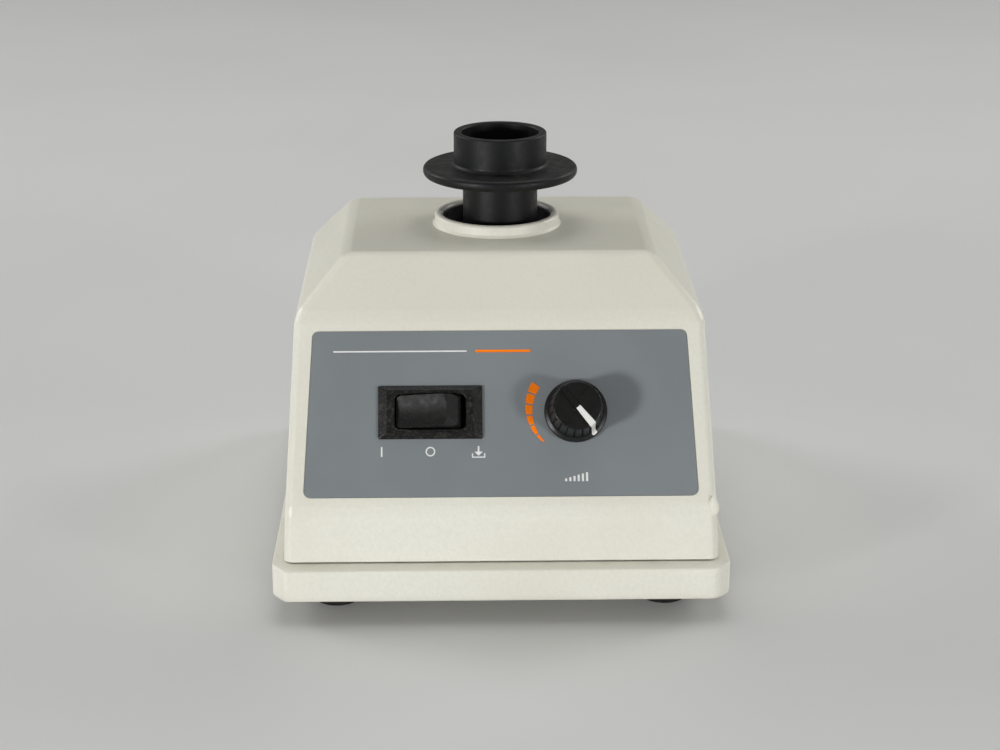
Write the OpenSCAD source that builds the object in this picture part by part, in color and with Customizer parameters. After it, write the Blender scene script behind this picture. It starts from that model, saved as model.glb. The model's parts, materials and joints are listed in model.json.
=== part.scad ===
// Vortex mixer: a cast housing on a tray, a sprung motor carriage inside it, and a rubber cup
// that an eccentric carries round in a small circle.
// Millimetres. +Z is up, the control panel faces -Y, and the origin is the centre of the
// footprint on the table. "in" as a distance means millimetres behind the base's front edge.

/* [Base] */
// Width of the base across the front
base_w = 165; // [163:1:168]
// Depth of the base from front to back
base_d = 210; // [209:1:214]
// Plan radius of the base corners
base_r = 9; // [8:0.5:10]
// Height of the rubber feet
foot_h = 8; // [7:0.5:9]
// Height of the upright band round the base
band_h = 12; // [11:0.5:13]
// Width of the sloping ledge between the band and the cover
ledge_w = 3.8; // [3.5:0.1:4]
// Rise of that ledge
ledge_h = 1.2; // [0.8:0.1:1.5]
// Thickness of the seal between tray and cover
gasket_t = 1.3; // [1:0.1:1.5]
// Wall and floor thickness of the tray
tray_wall = 3; // [2.5:0.1:3.5]

/* [Housing] */
// Wall thickness of the cast cover
wall = 3; // [2.6:0.1:3.2]
// Width of the cover at its bottom edge
cover_w = 156; // [155:1:157]
// Draft of the cover's sides from upright, in degrees
side_draft = 2.7; // [2:0.1:3]
// Height of the upright front face below the control panel
lower_face_h = 18.5; // [17:0.5:20]
// Slope length of the control panel
panel_len = 71; // [70:0.5:72]
// Tilt of the control panel back from upright, in degrees
panel_tilt = 28.3; // [27:0.1:29]
// Height of the sloping shoulders below the top plate
shoulder_h = 18.5; // [17:0.5:20]
// Width of the flat top plate
top_w = 113.2; // [110:0.2:116]
// Depth of the flat top plate
top_d = 84.5; // [82:0.5:87]

/* [Collar] */
// Distance of the cup's axis behind the base's front edge
axis_in = 99.5; // [98:0.5:101]
// Inner radius of the collar
collar_r = 20.6; // [20.4:0.1:21]
// Height of the collar's rim above the top plate
collar_h = 4.4; // [4:0.1:5]

/* [Cup] */
// Radius of the circle the cup is carried round in
orbit_r = 1.8; // [1.4:0.1:2]
// Direction of the cup's offset at rest, in degrees from +X
orbit_angle = -45; // [-90:5:90]
// Height of the cup's rim above the table
cup_top = 158; // [157:0.5:160]
// Outer radius of the cup
cup_r = 17.6; // [17:0.1:18]
// Inner radius of the cup
cup_bore_r = 14.7; // [14:0.1:15]
// Radius of the drip flange
flange_r = 29.3; // [28:0.1:30]
// Radius of the stem below the flange
stem_r = 14.2; // [14.1:0.1:14.4]

/* [Controls] */
// Distance of the rocker switch from the panel's centre line
switch_x = -25.2; // [-27:0.1:-24]
// Distance of the speed knob from the panel's centre line
knob_x = 26.9; // [25:0.1:29]
// Distance of both controls up the panel
control_up = 35.7; // [34:0.1:37]
// Swing of the rocker each side of its middle position, in degrees
rocker_swing = 17; // [12:1:18]
// Direction of the knob's pointer at rest, in degrees clockwise from the top
pointer_angle = 141; // [0:1:150]
// Radius of the knob's skirt
knob_skirt_r = 11.3; // [11:0.1:12]
// Height of the knob above the label
knob_h = 14.5; // [14:0.1:15]

/* [Motor] */
// Side of the square lamination stack
stack_w = 64; // [62:1:66]
// Height of the lamination stack
stack_h = 26; // [24:1:28]
// Radius of the rotor
rotor_r = 14; // [13:0.1:14.2]
// Travel of the carriage when the cup is pressed
press_travel = 2; // [1:0.1:2]

/* [Hidden] */
$fn = 64;

// Colours
off_white = [0.86, 0.86, 0.81];
near_black = [0.08, 0.08, 0.085];
label_grey = [0.42, 0.45, 0.47];
steel = [0.72, 0.73, 0.74];
lamination = [0.45, 0.46, 0.48];
copper = [0.72, 0.40, 0.18];
bronze = [0.70, 0.52, 0.28];
board_green = [0.08, 0.32, 0.16];
pale_plastic = [0.80, 0.80, 0.74];

// Heights and plan positions of the housing
front_y = -base_d / 2;
axis_y = front_y + axis_in;
floor_z = foot_h + tray_wall;
band_z = foot_h + band_h;
ledge_z = band_z + ledge_h;
cover_z = ledge_z + gasket_t;
cover_front_y = front_y + ledge_w;
crease_y = cover_front_y + 0.6;
crease_z = cover_z + lower_face_h;
shoulder_y = crease_y + panel_len * sin(panel_tilt);
shoulder_z = crease_z + panel_len * cos(panel_tilt);
top_z = shoulder_z + shoulder_h;
top_front_y = shoulder_y + shoulder_h;
top_rear_y = top_front_y + top_d;
cover_rear_y = base_d / 2 - 4;
rear_tilt = atan((cover_rear_y - top_rear_y) / (top_z - cover_z));
shoulder_w = cover_w - 2 * (shoulder_z - cover_z) * tan(side_draft);

// Label and controls, measured out from the panel's surface
label_recess = 0.5;
label_t = 0.35;
label_face = label_t - label_recess;
label_bottom = 5.2;
label_top = 65.5;
label_bottom_w = 141;
label_top_w = 134.8;
label_r = 2.5;
bezel_w = 37.3;
bezel_d = 19.2;
bezel_h = 2.6;
bezel_bevel_x = 3.4;
bezel_bevel_y = 1.8;
rocker_slot_w = 25.4;
rocker_slot_d = 12.5;
rocker_slot_r = 2;
switch_body_w = 30;
switch_body_d = 15.5;
switch_depth = 18;
rocker_pivot = -3;
rocker_pin_r = 1.2;
pot_hole_r = 3.8;
bushing_r = 3.6;
pot_shaft_r = 3;
running_gap = 0.05;
knob_gap = 0.5;
knob_face_r = 8.7;
knob_foot_r = 9.9;
skirt_h = 2.2;
pointer_w = 2.6;
pointer_out = 8.9;

// Fasteners
screw_spots = [[-70.5, -50], [70.5, -50], [-70.5, 50], [70.5, 50]];
foot_spots = [[-60, -82], [60, -82], [-60, 82], [60, 82]];
boss_r = 5.5;
cover_boss_h = 22;

// Cord gland on the rear slope, and the row of vents in the tray's floor
gland_x = -42;
gland_up = 30;
gland_bore_r = 3.7;
gland_thread_r = 7;
gland_hex_r = 10.4;
vent_pitch = 7;
vent_y = 72;
vent_w = 2.8;
vent_len = 24;

// Motor carriage, measured from the table
plate_w = 90;
plate_z = 44;
plate_t = 2.5;
post_spread = 38;
post_r = 3;
post_boss_h = 9;
bolt_spread = 26;
bolt_r = 2;
winding_h = 8;
bracket_rise = 12;
stack_z = plate_z + plate_t + bracket_rise + 0.1;
bracket_wall = 2.5;
bracket_r = 29;
shaft_r = 4;
shaft_bottom_z = 24;
hub_z = 100;
hub_h = 12;
press_gap = 0.3;
touch_x = 53.5;
touch_w = 16;
touch_body_z = 15;
touch_body_h = 12;
touch_plunger_y = 11.1;

// Cup and bearing, along the eccentric axis
orbit_x = orbit_r * cos(orbit_angle);
orbit_y = orbit_r * sin(orbit_angle);
stem_bottom_z = 114.5;
flange_z = 141;
flange_t = 4;
bearing_z = 117;
bearing_h = 7;
bearing_r = 11;
bearing_bore_r = 4;
ball_r = 1.4;
ball_pitch_r = 7.5;
hub_wall_r = 12.4;
hub_top_z = 137.5;

module rounded_rect(w, d, r) {
    square([w, d - 2 * r], center = true);
    square([w - 2 * r, d], center = true);
    for (x = [-1, 1], y = [-1, 1]) translate([x * (w / 2 - r), y * (d / 2 - r)]) circle(r);
}

module ring(outer_r, inner_r, h) {
    difference() {
        cylinder(r = outer_r, h = h);
        translate([0, 0, -1]) cylinder(r = inner_r, h = h + 2);
    }
}

module on_panel(x, up) {
    translate([0, crease_y, crease_z]) rotate([90 - panel_tilt, 0, 0]) translate([x, up, 0]) children();
}

module on_rear(x, up) {
    translate([0, cover_rear_y, cover_z]) rotate([90 - rear_tilt, 0, 180])
        translate([-x, up, 0]) children();
}

module on_axis(z) translate([0, axis_y, z]) children();

module on_orbit(z) translate([orbit_x, axis_y + orbit_y, z]) children();

module at_corners(spread) {
    for (x = [-1, 1], y = [-1, 1]) translate([x * spread, y * spread, 0]) children();
}

// Side view of the cover, drawn with x as depth and y as height
module side_view(extend) {
    polygon([[cover_front_y, cover_z - extend], [cover_front_y, cover_z], [crease_y, crease_z],
             [shoulder_y, shoulder_z], [top_front_y, top_z], [top_rear_y, top_z],
             [cover_rear_y, cover_z], [cover_rear_y, cover_z - extend]]);
}

// Front view of the cover, drawn with x as width and y as height
module front_view(extend) {
    polygon([[-cover_w / 2, cover_z - extend], [-cover_w / 2, cover_z], [-shoulder_w / 2, shoulder_z],
             [-top_w / 2, top_z], [top_w / 2, top_z], [shoulder_w / 2, shoulder_z],
             [cover_w / 2, cover_z], [cover_w / 2, cover_z - extend]]);
}

module cover_form(inset, extend) {
    intersection() {
        rotate([90, 0, 90]) translate([0, 0, -base_w]) linear_extrude(2 * base_w)
            offset(delta = -inset) side_view(extend);
        rotate([90, 0, 0]) translate([0, 0, -base_d]) linear_extrude(2 * base_d)
            offset(delta = -inset) front_view(extend);
    }
}

module label_outline() {
    hull() {
        $fn = 32;
        for (side = [-1, 1]) {
            translate([side * (label_bottom_w / 2 - label_r), label_bottom + label_r]) circle(label_r);
            translate([side * (label_top_w / 2 - label_r), label_top - label_r]) circle(label_r);
        }
    }
}

module base_tray() color(off_white) difference() {
    union() {
        translate([0, 0, foot_h]) linear_extrude(band_h) rounded_rect(base_w, base_d, base_r);
        hull() for (x = [-1, 1], y = [-1, 1])
            translate([x * (base_w / 2 - base_r), y * (base_d / 2 - base_r), band_z])
                cylinder(r1 = base_r, r2 = base_r - ledge_w, h = ledge_h, $fn = 32);
    }
    difference() {
        union() {
            translate([0, 0, floor_z]) linear_extrude(band_z - 1.5 - floor_z)
                rounded_rect(base_w - 2 * tray_wall, base_d - 2 * tray_wall, base_r - tray_wall);
            translate([0, 0, floor_z]) linear_extrude(band_h)
                rounded_rect(base_w - 17, base_d - 17, 3);
        }
        for (p = screw_spots) translate([p[0], p[1], 0]) cylinder(r = boss_r, h = ledge_z);
        on_axis(0) at_corners(post_spread) cylinder(r = 7, h = floor_z + post_boss_h);
        for (p = foot_spots) translate([p[0], p[1], 0]) cylinder(r = 5, h = floor_z + 5);
    }
    for (p = screw_spots) translate([p[0], p[1], foot_h - 1]) {
        cylinder(r = 1.9, h = band_h + 5);
        cylinder(r = 3.4, h = 4);
    }
    on_axis(foot_h + 1.5) at_corners(post_spread) cylinder(r = post_r + 0.02, h = band_h);
    for (p = foot_spots) translate([p[0], p[1], foot_h - 1]) cylinder(r = 1.55, h = tray_wall + 5);
    for (i = [-4:4]) translate([i * vent_pitch, vent_y, foot_h - 1]) linear_extrude(tray_wall + 2)
        rounded_rect(vent_w, vent_len, 1.2);
}

module cover_gasket() color(near_black) translate([0, 0, ledge_z]) linear_extrude(gasket_t) difference() {
    rounded_rect(cover_w - 2, cover_rear_y - cover_front_y - 2, 3.5);
    rounded_rect(cover_w - 7, cover_rear_y - cover_front_y - 7, 2);
}

module collar_profile() {
    lip = 1.4;
    polygon([[collar_r, -wall - 3], [collar_r, collar_h - lip], [collar_r + lip, collar_h],
             [collar_r + 3.1 - lip, collar_h], [collar_r + 3.1, collar_h - lip],
             [collar_r + 4.1, 0], [collar_r + 4.1, -1], [collar_r + 3.1, -wall - 3]]);
    for (r = [collar_r + lip, collar_r + 3.1 - lip]) translate([r, collar_h - lip]) circle(lip);
}

module housing_cover() color(off_white) {
    difference() {
        cover_form(0, 0);
        difference() {
            cover_form(wall, wall + 1);
            for (p = screw_spots) translate([p[0], p[1], cover_z]) cylinder(r = boss_r, h = cover_boss_h);
        }
        on_axis(0) cylinder(r = collar_r + 0.2, h = top_z + 10);
        for (p = screw_spots) translate([p[0], p[1], cover_z - 1]) cylinder(r = 1.5, h = 14);
        on_panel(0, 0) translate([0, 0, -label_recess]) linear_extrude(2) label_outline();
        on_panel(switch_x, control_up) cube([switch_body_w + 0.6, switch_body_d + 0.6, 20], center = true);
        on_panel(knob_x, control_up) translate([0, 0, -10]) cylinder(r = pot_hole_r, h = 20);
        on_rear(gland_x, gland_up) translate([0, 0, -10]) cylinder(r = gland_thread_r + 0.2, h = 20);
    }
    on_axis(top_z) rotate_extrude() collar_profile();
}

module collar_seal() color(near_black) on_axis(top_z - wall - 3) {
    ring(collar_r - 0.05, collar_r - 3.5, 2);
    ring(collar_r - 0.05, collar_r - 0.8, wall + 3 + collar_h - 1.3);
}

module panel_label() color(label_grey) on_panel(0, 0) translate([0, 0, -label_recess]) linear_extrude(label_t)
    difference() {
        offset(delta = -0.15) label_outline();
        translate([switch_x, control_up]) square([switch_body_w + 0.6, switch_body_d + 0.6], center = true);
        translate([knob_x, control_up]) circle(pot_hole_r);
    }

module rubber_feet() color(near_black) for (p = foot_spots) translate([p[0], p[1], 0]) rotate_extrude()
    polygon([[4.2, 0], [8.6, 0], [9.4, 0.8], [10.5, foot_h], [1.8, foot_h], [1.8, 3.5], [4.2, 3.5]]);

module foot_screws() color(steel) for (p = foot_spots) translate([p[0], p[1], 0]) {
    difference() {
        translate([0, 0, 1.6]) cylinder(r = 3.6, h = 1.85);
        translate([0, 0, 1.2]) cube([5, 0.9, 1.6], center = true);
    }
    translate([0, 0, 3]) cylinder(r = 1.5, h = 12);
}

module cover_screws() color(steel) for (p = screw_spots) translate([p[0], p[1], foot_h + 0.6]) {
    difference() {
        cylinder(r = 3.1, h = 2.3);
        for (a = [0, 90]) rotate(a) cube([4, 0.9, 1.6], center = true);
    }
    translate([0, 0, 2]) cylinder(r = 1.45, h = 22);
}

module switch_bezel() {
    hull() {
        translate([0, 0, label_face + 0.4]) cube([bezel_w, bezel_d, 0.8], center = true);
        translate([0, 0, bezel_h - 0.1])
            cube([bezel_w - 2 * bezel_bevel_x, bezel_d - 2 * bezel_bevel_y, 0.2], center = true);
    }
}

module switch_housing() color(near_black) on_panel(switch_x, control_up) difference() {
    union() {
        switch_bezel();
        translate([-switch_body_w / 2, -switch_body_d / 2, -switch_depth])
            cube([switch_body_w, switch_body_d, switch_depth]);
    }
    translate([0, 0, -switch_depth + 3]) linear_extrude(switch_depth + 3)
        rounded_rect(rocker_slot_w, rocker_slot_d, rocker_slot_r);
    translate([0, 0, rocker_pivot]) rotate([90, 0, 0])
        cylinder(r = rocker_pin_r + 0.02, h = switch_body_d - 0.6, center = true);
    for (x = [-9, 0, 9]) translate([x, 0, -switch_depth]) cube([0.9, 6.2, 5], center = true);
}

module switch_terminals() color(bronze) on_panel(switch_x, control_up)
    for (x = [-9, 0, 9]) translate([x, 0, -switch_depth - 3]) difference() {
        cube([0.8, 6, 10], center = true);
        translate([0, 0, -2.5]) rotate([0, 90, 0]) cylinder(r = 0.8, h = 3, center = true);
    }

module rocker_pin() color(steel) on_panel(switch_x, control_up) translate([0, 0, rocker_pivot])
    rotate([90, 0, 0]) cylinder(r = rocker_pin_r, h = switch_body_d - 0.8, center = true);

module rocker_outline() {
    top = 8;
    difference() {
        polygon([[-10.1, top], [7.2, top], [8, top - 0.4], [12, 3.6], [11.9, 1.2], [8, -4],
                 [-8, -4], [-11.5, 1.2], [-11.5, 4.2], [-10.6, top - 0.4]]);
        circle(rocker_pin_r + running_gap);
    }
}

module rocker_plan() translate([0, 0, -8]) linear_extrude(24)
    rounded_rect(rocker_slot_w - 0.8, rocker_slot_d - 0.8, rocker_slot_r - 0.1);

// The paddle's ends are cut to the slot's plan at both ends of its swing
module switch_rocker() color(near_black) on_panel(switch_x, control_up) translate([0, 0, rocker_pivot])
    rotate([0, -rocker_swing, 0]) intersection() {
        rotate([90, 0, 0]) linear_extrude(rocker_slot_d - 0.8, center = true) rocker_outline();
        rotate([0, rocker_swing, 0]) rocker_plan();
        rotate([0, -rocker_swing, 0]) rocker_plan();
    }

module pot_body() color(steel) on_panel(knob_x, control_up) difference() {
    union() {
        translate([0, 0, -wall - 10]) cylinder(r = 8.5, h = 10 - 0.02);
        translate([0, 0, -wall - 1]) cylinder(r = bushing_r, h = wall + 4.6);
        translate([-7, -13, -wall - 9]) cube([14, 8, 1.6]);
    }
    translate([0, 0, -wall - 8]) cylinder(r = pot_shaft_r + running_gap, h = 20);
}

module pot_washer() color(steel) on_panel(knob_x, control_up) translate([0, 0, label_face])
    ring(6.5, bushing_r + 0.05, 0.6);

module pot_nut() color(steel) on_panel(knob_x, control_up) translate([0, 0, label_face + 0.6]) difference() {
    cylinder(r = 5.8, h = 2.2, $fn = 6);
    translate([0, 0, -1]) cylinder(r = bushing_r + 0.05, h = 5);
}

module at_knob() on_panel(knob_x, control_up) translate([0, 0, label_face])
    rotate([0, 0, -pointer_angle]) children();

module speed_knob() color(near_black) at_knob() difference() {
    rotate_extrude() polygon([[0, knob_gap], [knob_skirt_r - 0.4, knob_gap], [knob_skirt_r, knob_gap + 0.5],
        [knob_skirt_r, skirt_h], [knob_skirt_r - 0.5, skirt_h + 0.5], [knob_foot_r, skirt_h + 0.9],
        [knob_face_r, knob_h - 0.6], [knob_face_r - 0.6, knob_h], [0, knob_h]]);
    cylinder(r = 7.2, h = 5);
    cylinder(r = pot_shaft_r + 0.03, h = 12.2);
    for (a = [12:24:348]) rotate(a) translate([knob_foot_r + 0.5, 0, skirt_h + 1.2])
        rotate([0, -atan((knob_foot_r - knob_face_r) / knob_h), 0]) cylinder(r = 0.9, h = knob_h);
    translate([0, 0, knob_h]) cube([pointer_w + 0.4, 2 * knob_face_r + 4, 1.6], center = true);
    translate([0, pointer_out + 0.52, knob_h / 2 + 3.2]) cube([pointer_w + 0.4, 2.4, knob_h], center = true);
    translate([0, 0, 8]) rotate([90, 0, 0]) cylinder(r = 1.5, h = 12);
}

module knob_pointer() color("white") at_knob() {
    translate([-pointer_w / 2, 0.3, knob_h - 0.78]) cube([pointer_w, pointer_out - 0.3, 0.88]);
    translate([-pointer_w / 2, pointer_out - 0.66, skirt_h + 1.6])
        cube([pointer_w, 0.66, knob_h - skirt_h - 1.5]);
}

module pot_shaft() color(steel) at_knob() translate([0, 0, -wall - 7.6 - label_face])
    cylinder(r = pot_shaft_r, h = wall + 7.6 + 12 + label_face);

module knob_set_screw() color(steel) at_knob() translate([0, -3.1, 8]) rotate([90, 0, 0]) difference() {
    cylinder(r = 1.4, h = 5);
    translate([0, 0, 4]) cylinder(r = 0.7, h = 2, $fn = 6);
}

module guide_posts() color(steel) on_axis(foot_h + 1.5) at_corners(post_spread) difference() {
    cylinder(r = post_r, h = 43);
    translate([0, 0, plate_z + plate_t + press_gap - foot_h - 1.5]) ring(post_r + 1, post_r - 0.6, 1.2);
}

module post_clips() color(steel) on_axis(plate_z + plate_t + press_gap + 0.1) at_corners(post_spread)
    ring(post_r + 3, post_r - 0.55, 1);

// An open helix of round wire, as rings of points joined by quads
module coil_spring(r, wire_r, h, turns) {
    sides = 6;
    steps = 12 * turns;
    ring_at = function(i) let (a = 360 * turns * i / steps, z = wire_r + (h - 2 * wire_r) * i / steps)
        [for (k = [0:sides - 1]) let (b = 360 * k / sides)
            [(r + wire_r * cos(b)) * cos(a), (r + wire_r * cos(b)) * sin(a), z + wire_r * sin(b)]];
    points = [for (i = [0:steps]) each ring_at(i)];
    walls = [for (i = [0:steps - 1], k = [0:sides - 1]) let (n = (k + 1) % sides)
        [i * sides + k, i * sides + n, (i + 1) * sides + n, (i + 1) * sides + k]];
    polyhedron(points, concat(walls, [[for (k = [sides - 1:-1:0]) k]],
        [[for (k = [0:sides - 1]) steps * sides + k]]));
}

module suspension_springs() color(steel) on_axis(floor_z + post_boss_h) at_corners(post_spread)
    coil_spring(5, 0.6, plate_z - floor_z - post_boss_h - 0.1, 5);

// The touch switch stands to the right of the motor, its plunger just under the plate's edge
module at_touch_switch() translate([touch_x, axis_y, floor_z]) rotate(90) children();

module touch_screw_holes() for (x = [-4.8, 4.8]) translate([x, 0, touch_body_z + 6]) rotate([90, 0, 0])
    cylinder(r = 1, h = 60, center = true);

module touch_switch_bracket() color(steel) at_touch_switch() difference() {
    union() {
        translate([-touch_w / 2, -7, 0]) cube([touch_w, 14, 1.5]);
        translate([-touch_w / 2, 5.5, 0]) cube([touch_w, 1.5, 26]);
    }
    touch_screw_holes();
}

module touch_switch() color(near_black) at_touch_switch() difference() {
    translate([-touch_w / 2, 7.1, touch_body_z]) cube([touch_w, 8, touch_body_h]);
    translate([0, touch_plunger_y, touch_body_z + 5]) cylinder(r = 1.5, h = 10);
    touch_screw_holes();
}

module touch_plunger() color("firebrick") at_touch_switch()
    translate([0, touch_plunger_y, touch_body_z + 5.4 + press_travel])
        cylinder(r = 1.2, h = plate_z - floor_z - touch_body_z - 5.4 - press_travel - 0.25);

module circuit_board() color(board_green) translate([-38, front_y + 12, floor_z + 6]) difference() {
    cube([64, 36, 1.6]);
    for (x = [4, 60], y = [4, 32]) translate([x, y, -1]) cylinder(r = 1.6, h = 4);
}

module board_standoffs() color(bronze) translate([-38, front_y + 12, floor_z]) for (x = [4, 60], y = [4, 32])
    translate([x, y, 0]) {
        cylinder(r = 2.8, h = 6);
        cylinder(r = 1.5, h = 7.6);
        translate([0, 0, 7.6]) cylinder(r = 2.7, h = 1.6);
    }

module board_components() color(near_black) translate([-38, front_y + 12, floor_z + 7.6]) {
    translate([14, 12, 0]) cylinder(r = 6, h = 16);
    translate([28, 10, 0]) cylinder(r = 4, h = 11);
    for (i = [0:3]) translate([36 + i * 4.5, 22, 1.6]) rotate([90, 0, 0]) cylinder(r = 1.6, h = 10);
    translate([22, 24, 0]) cube([11, 4, 15]);
    for (i = [0:4]) translate([20.5 + i * 3.2, 28.2, 0]) cube([1.4, 6, 18]);
    translate([20.5, 28.05, 0]) cube([14.2, 1.6, 18]);
    translate([40, 26, 0]) cube([14, 7, 9]);
}

module cord_gland() color(near_black) on_rear(gland_x, gland_up) difference() {
    union() {
        translate([0, 0, -wall - 6]) cylinder(r = gland_thread_r, h = wall + 7);
        cylinder(r = gland_hex_r, h = 3, $fn = 6);
        translate([0, 0, 2.9]) cylinder(r1 = 8.4, r2 = 6, h = 5);
    }
    translate([0, 0, -20]) cylinder(r = gland_bore_r, h = 40);
}

module gland_nut() color(near_black) on_rear(gland_x, gland_up) translate([0, 0, -wall - 4]) difference() {
    cylinder(r = gland_hex_r, h = 3.9, $fn = 6);
    translate([0, 0, -1]) cylinder(r = gland_thread_r + 0.02, h = 6);
}

// A run of insulated wire, as rings of points mitred at each bend of its route
module wire_run(route, r) {
    sides = 8;
    last = len(route) - 1;
    unit = function(v) v / norm(v);
    heading = function(i) unit(i == 0 ? route[1] - route[0] : i == last ? route[last] - route[last - 1]
        : unit(route[i] - route[i - 1]) + unit(route[i + 1] - route[i]));
    ring_at = function(i) let (t = heading(i), a = unit(cross(t, [1, 0.2, 0.1])), b = cross(t, a))
        [for (k = [0:sides - 1]) let (w = 360 * k / sides) route[i] + r * (a * cos(w) + b * sin(w))];
    points = [for (i = [0:last]) each ring_at(i)];
    walls = [for (i = [0:last - 1], k = [0:sides - 1]) let (n = (k + 1) % sides)
        [i * sides + k, (i + 1) * sides + k, (i + 1) * sides + n, i * sides + n]];
    polyhedron(points, concat(walls, [[for (k = [0:sides - 1]) k]],
        [[for (k = [sides - 1:-1:0]) last * sides + k]]));
}

module wiring() color("firebrick") {
    wire_run([[-42, 74.3, 40.9], [-56, 68, 34], [-64, 40, 26], [-64, -40, 26], [-52, -56, 36], [-8, -60, 42],
              [5, -62, 38], [6, -63, 28]], 1.6);
    wire_run([[-34.5, -59.8, 59.4], [-34, -57, 54], [-26, -58, 48], [9.5, -61, 44], [10.5, -62.5, 28]], 1.2);
    wire_run([[27, -79.6, 54.6], [26, -78, 46], [20, -70, 40], [14.2, -65, 34], [14, -65, 28.2]], 1.2);
}

module motor_plate() color(steel) on_axis(plate_z) linear_extrude(plate_t) difference() {
    rounded_rect(plate_w, plate_w, 6);
    circle(12);
    at_corners(post_spread) circle(post_r + 0.3);
    at_corners(bolt_spread) circle(bolt_r + 0.2);
    for (a = [0:90:270]) rotate(a) translate([24, 0]) circle(6);
}

module stator_core() color(lamination) on_axis(stack_z) linear_extrude(stack_h) difference() {
    rounded_rect(stack_w, stack_w, 5);
    circle(rotor_r + 0.6);
    at_corners(bolt_spread) circle(bolt_r + 0.2);
    for (a = [45:90:315]) rotate(a) translate([21, 0]) circle(3.5);
}

module stator_windings() color(copper) for (z = [stack_z - winding_h, stack_z + stack_h]) on_axis(z)
    ring(24, 16.5, winding_h);

module bracket() {
    translate([0, 0, -0.02]) linear_extrude(3) difference() {
        rounded_rect(stack_w, stack_w, 5);
        circle(bracket_r - bracket_wall);
        at_corners(bolt_spread) circle(bolt_r + 0.2);
    }
    ring(bracket_r, bracket_r - bracket_wall, bracket_rise);
    difference() {
        union() {
            translate([0, 0, bracket_rise - 2.5]) cylinder(r = bracket_r, h = 2.5);
            translate([0, 0, bracket_rise - 7]) cylinder(r = 9, h = 7);
        }
        cylinder(r = 6.52, h = bracket_rise + 1);
        for (a = [30:60:330]) rotate(a) translate([18, 0, 0]) cylinder(r = 4, h = bracket_rise + 1);
    }
}

module upper_bracket() color(steel) on_axis(stack_z + stack_h + 0.04) bracket();

module lower_bracket() color(steel) on_axis(stack_z - 0.04) mirror([0, 0, 1]) bracket();

module motor_bushes() color(bronze) {
    on_axis(stack_z + stack_h + bracket_rise - 7) ring(6.5, shaft_r + 0.03, 7);
    on_axis(stack_z - bracket_rise) ring(6.5, shaft_r + 0.03, 7);
}

module motor_bolts() color(steel) on_axis(plate_z - 3.2) at_corners(bolt_spread) {
    cylinder(r = 4.2, h = 3.15, $fn = 6);
    translate([0, 0, 3]) cylinder(r = bolt_r, h = 50);
    translate([0, 0, stack_z + stack_h + 3.1 - plate_z + 3.2]) cylinder(r = 4, h = 3, $fn = 6);
}

module motor_rotor() color(lamination) on_axis(stack_z) ring(rotor_r, shaft_r + 0.01, stack_h);

module motor_shaft() color(steel) on_axis(shaft_bottom_z) cylinder(r = shaft_r, h = hub_z + 8 - shaft_bottom_z);

module cooling_fan() color(near_black) on_axis(28) difference() {
    union() {
        cylinder(r = 7.5, h = 11);
        cylinder(r = 29, h = 1.4);
        for (a = [0:36:324]) rotate(a) translate([7, -0.6, 0]) cube([21, 1.2, 10]);
    }
    translate([0, 0, -1]) cylinder(r = shaft_r + 0.01, h = 14);
}

module eccentric_hub() color(steel) difference() {
    union() {
        on_axis(hub_z) cylinder(r = 9, h = hub_h);
        on_axis(hub_z) intersection() {
            cylinder(r = 24, h = hub_h - 3);
            rotate(orbit_angle + 180) translate([0, -25, 0]) cube([30, 50, 20]);
        }
        on_orbit(hub_z) cylinder(r = bearing_bore_r, h = bearing_z + bearing_h - hub_z);
        on_orbit(hub_z) cylinder(r = 6, h = bearing_z - hub_z - 0.02);
    }
    on_axis(hub_z - 1) cylinder(r = shaft_r + 0.01, h = 9);
    on_orbit(hub_z + 11) cylinder(r = 1.62, h = 20);
}

module bearing_race(inner_r, outer_r) {
    rotate_extrude() difference() {
        translate([inner_r, 0]) square([outer_r - inner_r, bearing_h]);
        translate([ball_pitch_r, bearing_h / 2]) circle(ball_r + 0.1);
    }
}

module bearing_inner_ring() color(steel) on_orbit(bearing_z) bearing_race(bearing_bore_r + 0.01, 6.6);

module bearing_outer_ring() color(steel) on_orbit(bearing_z) bearing_race(8.4, bearing_r - 0.01);

module bearing_balls() color(steel) on_orbit(bearing_z + bearing_h / 2)
    for (a = [0:45:315]) rotate(a) translate([ball_pitch_r, 0, 0]) sphere(ball_r, $fn = 24);

module bearing_screw() color(steel) on_orbit(bearing_z + bearing_h) {
    translate([0, 0, 0.02]) cylinder(r = 5.6, h = 1);
    translate([0, 0, 1]) difference() {
        cylinder(r = 3.4, h = 2.4);
        translate([0, 0, 1.2]) cylinder(r = 1.5, h = 2, $fn = 6);
    }
    translate([0, 0, -10]) cylinder(r = 1.6, h = 10.5);
}

module cup_profile() {
    edge = flange_t / 2;
    difference() {
        union() {
            translate([0, stem_bottom_z]) square([stem_r, flange_z - stem_bottom_z + 1]);
            translate([0, flange_z]) square([flange_r - edge, flange_t]);
            translate([flange_r - edge, flange_z + edge]) circle(edge);
            translate([0, flange_z]) square([cup_r, cup_top - flange_z - 0.8]);
            translate([0, cup_top - 1]) square([cup_r - 0.8, 1]);
            translate([cup_r - 0.8, cup_top - 0.8]) circle(0.8);
        }
        translate([-50, stem_bottom_z - 1]) square([50 + hub_wall_r, hub_top_z - stem_bottom_z + 1]);
        translate([-50, 0]) square([50, 200]);
        polygon([[0, cup_top + 1], [cup_bore_r, cup_top + 1], [cup_bore_r, cup_top - 8], [4, flange_z + 2.5],
                 [0, flange_z + 2.5]]);
    }
}

module cup_head() color(near_black) on_orbit(0) rotate_extrude() cup_profile();

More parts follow.
